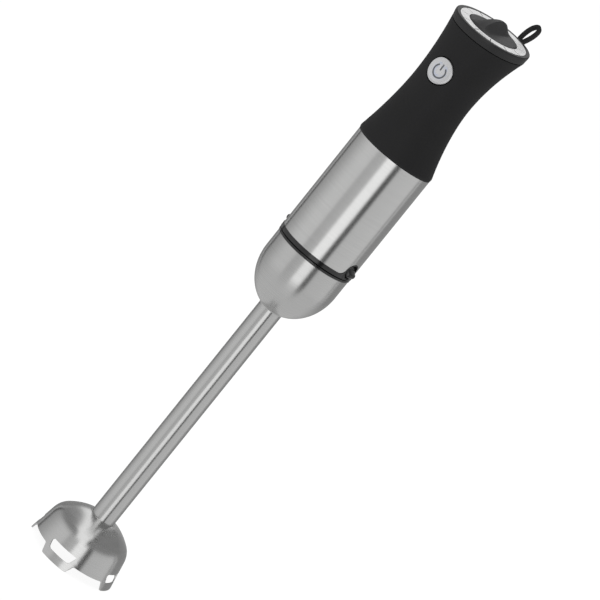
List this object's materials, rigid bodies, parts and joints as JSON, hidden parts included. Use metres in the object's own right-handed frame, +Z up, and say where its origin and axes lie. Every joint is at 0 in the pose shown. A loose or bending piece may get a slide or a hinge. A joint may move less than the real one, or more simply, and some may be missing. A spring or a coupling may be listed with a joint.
{
  "type": "immersion blender",
  "caption": "Hand-held immersion blender: waisted black grip with a speed dial and power button, steel motor housing, pull-off steel shaft and a bell with windowed feet.",
  "frame": {"origin": "on the long axis, in the plane under the ends of the bell's feet", "axes": "+Z up the long axis from the bell to the dial, -Y towards the front with the power button, +X to the right seen from behind the button"},
  "size_m": [0.0618, 0.0687, 0.4338],
  "materials": {
    "brushed_steel": "circumferentially brushed stainless steel",
    "shaft_steel": "satin brushed stainless steel",
    "soft_grip": "matte soft-touch",
    "black_gloss": "glossy black ABS",
    "cap_black": "satin black ABS",
    "dial_grey": "matte dark grey ABS",
    "scale_silver": "bright stippled",
    "button_silver": "satin, with a bright bevel",
    "loop_rubber": "matte black",
    "seal_rubber": "matte",
    "inner_plastic": "moulded",
    "coupler_plastic": "glass-filled nylon",
    "bracket_metal": "die cast",
    "machined_steel": "machined",
    "blade_steel": "ground",
    "lamination": "stacked laminations",
    "copper_wire": "enamelled copper",
    "brass": "sintered bronze and brass",
    "carbon": "graphite",
    "board_green": "solder mask",
    "component_black": "moulded package",
    "component_blue": "moulded case",
    "capacitor_yellow": "moulded case",
    "lead_red": "PVC insulation"
  },
  "bodies": {
    "motor_unit": {"motor_housing": "brushed_steel", "coupling_collar": "black_gloss", "grip_cover": "soft_grip", "grip_frame": "inner_plastic", "top_cap": "cap_black", "scale_ring": "scale_silver", "cord_gland": "loop_rubber", "hanging_loop": "loop_rubber", "potentiometer": "component_blue", "control_board": "board_green", "power_switch": "inner_plastic", "speed_triac": "component_black", "suppressor_capacitor": "capacitor_yellow", "motor_leads": "lead_red", "lower_bracket": "bracket_metal", "upper_bracket": "bracket_metal", "lower_bearing": "machined_steel", "upper_bearing": "machined_steel", "field_core": "lamination", "field_coils": "copper_wire", "brush_holders": "brass", "carbon_brushes": "carbon", "brush_springs": "machined_steel", "bracket_screws": "machined_steel", "motor_mount": "loop_rubber", "button_spring": "machined_steel", "release_spring_left": "machined_steel", "release_spring_right": "machined_steel"},
    "rotor": {"armature": "lamination", "armature_windings": "copper_wire", "commutator": "copper_wire", "motor_shaft": "machined_steel", "cooling_fan": "coupler_plastic", "drive_coupler": "coupler_plastic"},
    "dial": {"speed_dial": "dial_grey", "potentiometer_shaft": "machined_steel"},
    "power_key": {"power_button": "button_silver", "button_plunger": "inner_plastic"},
    "release_left": {"release_button_left": "black_gloss"},
    "release_right": {"release_button_right": "black_gloss"},
    "blending_shaft": {"attachment_ring": "black_gloss", "attachment_socket": "inner_plastic", "shaft_dome": "shaft_steel", "shaft_tube": "shaft_steel", "upper_bush": "brass", "lower_bush": "brass", "shaft_seal": "seal_rubber", "blade_guard": "shaft_steel"},
    "blade_drive": {"drive_shaft": "machined_steel", "driven_coupler": "coupler_plastic", "blade": "blade_steel", "blade_boss": "inner_plastic"}
  },
  "joints": [
    {"name": "motor_spin", "type": "hinge", "parent": "motor_unit", "child": "rotor", "pos_m": [0, 0, 0.2493], "axis": [0, 0, 1], "continuous": true},
    {"name": "shaft_release", "type": "slide", "parent": "motor_unit", "child": "blending_shaft", "axis": [0, 0, -1], "range_m": [0, 0.026]},
    {"name": "blade_spin", "type": "hinge", "parent": "blending_shaft", "child": "blade_drive", "pos_m": [0, 0, 0.0059], "axis": [0, 0, 1], "continuous": true},
    {"name": "dial_turn", "type": "hinge", "parent": "motor_unit", "child": "dial", "pos_m": [0, 0, 0.4171], "axis": [0, -0.1392, 0.9903], "range_deg": [-135, 135]},
    {"name": "power_press", "type": "slide", "parent": "motor_unit", "child": "power_key", "axis": [0, 1, 0], "range_m": [0, 0.0015], "stiffness_N_per_m": 500, "springref_m": -0.001, "deforming": ["button_spring"]},
    {"name": "release_left_press", "type": "slide", "parent": "motor_unit", "child": "release_left", "axis": [1, 0, 0], "range_m": [0, 0.0022], "stiffness_N_per_m": 900, "springref_m": -0.001, "deforming": ["release_spring_left"]},
    {"name": "release_right_press", "type": "slide", "parent": "motor_unit", "child": "release_right", "axis": [-1, 0, 0], "range_m": [0, 0.0022], "stiffness_N_per_m": 900, "springref_m": -0.001, "deforming": ["release_spring_right"]}
  ],
  "couplings": [
    {"joint": "blade_spin", "follows": "motor_spin", "ratio": 1}
  ]
}
